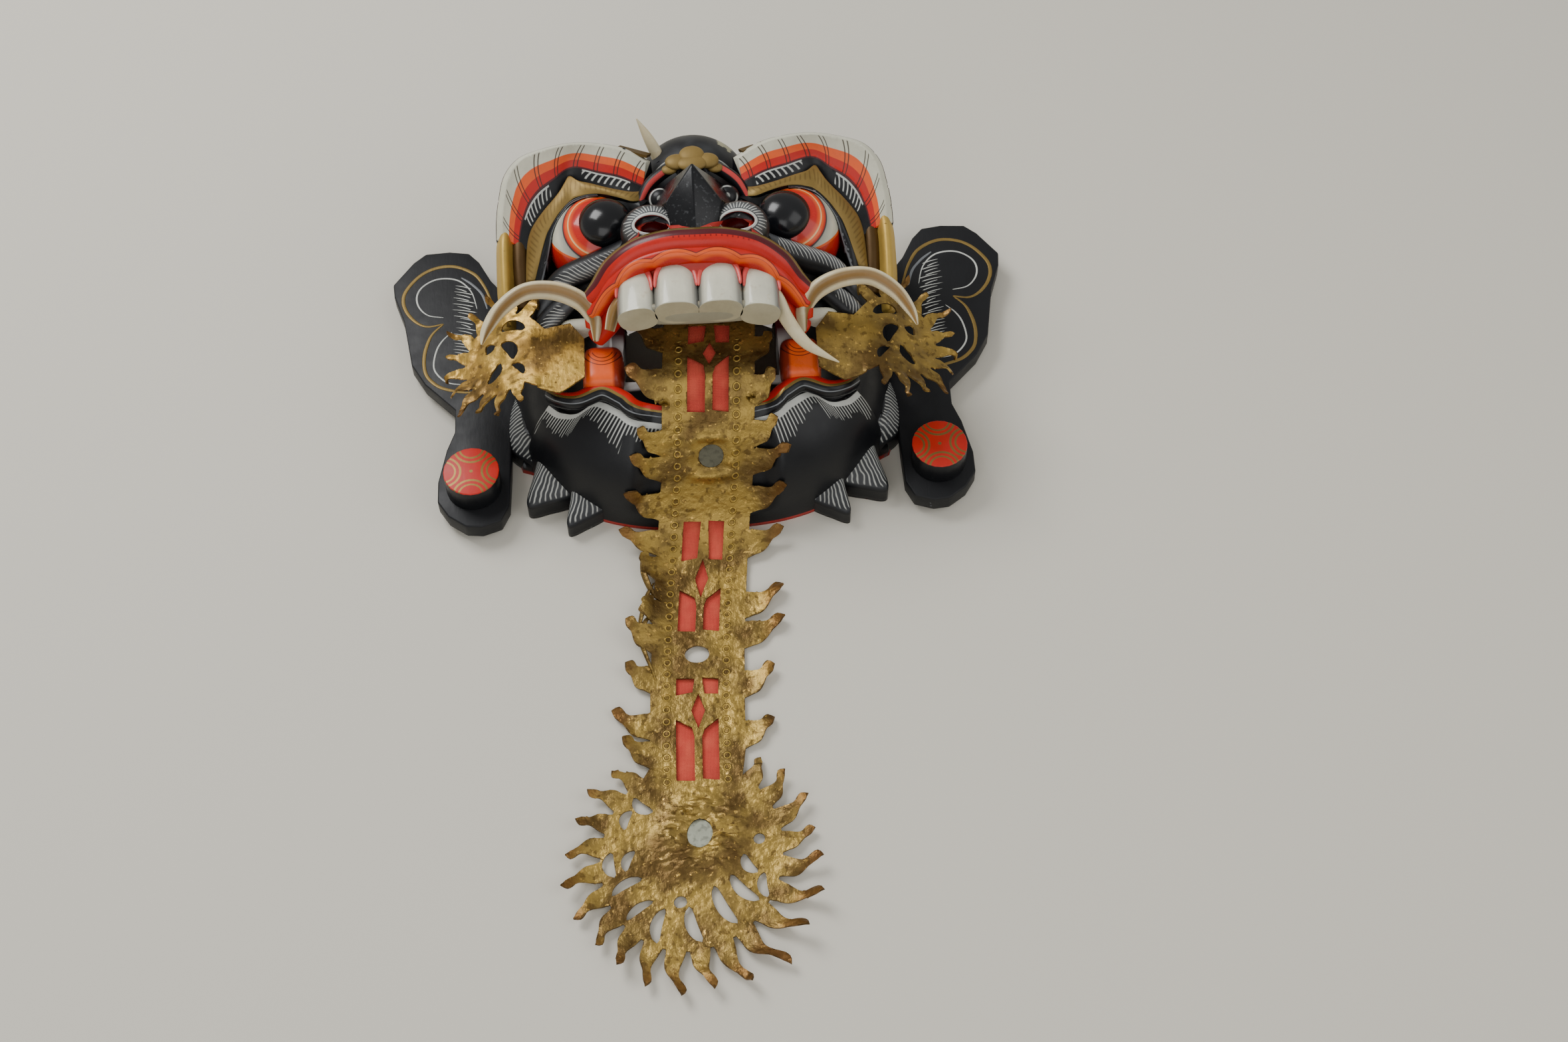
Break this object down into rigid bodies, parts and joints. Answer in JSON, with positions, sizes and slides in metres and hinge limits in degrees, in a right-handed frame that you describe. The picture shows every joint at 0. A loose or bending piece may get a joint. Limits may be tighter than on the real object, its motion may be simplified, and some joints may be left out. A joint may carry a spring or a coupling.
{
  "type": "rangda mask",
  "caption": "Carved and painted wooden demon mask with bulging eyes, curled boar tusks, board ears with plugs and a long pierced gilt leather tongue, lying on its back.",
  "frame": {"origin": "middle of the underside of the box that holds mask and tongue, on the plane that the back rim rests on", "axes": "+X to the right as seen from the chin, +Y from the tongue's tip to the forehead, +Z out of the face"},
  "size_m": [0.406, 0.5586, 0.1664],
  "materials": {
    "painted_face": "carved softwood, satin black paint with red, orange, cream and gold lines",
    "painted_ear": "satin black painted board with gold and white lines",
    "painted_plug": "red painted disc with gold arcs",
    "boar_ivory": "real boar tusk, cream and polished, brown along its hollow side",
    "gilded_leather": "pierced rawhide with worn gold paint",
    "red_cloth": "coral red plain weave",
    "old_mirror": "small clouded mirror"
  },
  "bodies": {
    "root": {"mask": "painted_face", "ear_left": "painted_ear", "ear_right": "painted_ear", "ear_plug_left": "painted_plug", "ear_plug_right": "painted_plug", "long_tusk_left": "boar_ivory", "long_tusk_right": "boar_ivory", "short_tusk_right": "boar_ivory", "short_tusk_stump_left": "boar_ivory", "forehead_horn_left": "boar_ivory", "cheek_flame_left": "gilded_leather", "cheek_flame_right": "gilded_leather", "crown_leather_left": "gilded_leather", "crown_leather_right": "gilded_leather", "tongue_leather": "gilded_leather", "tongue_cloth": "red_cloth", "tongue_mirror_upper": "old_mirror", "tongue_mirror_lower": "old_mirror"}
  },
  "joints": []
}
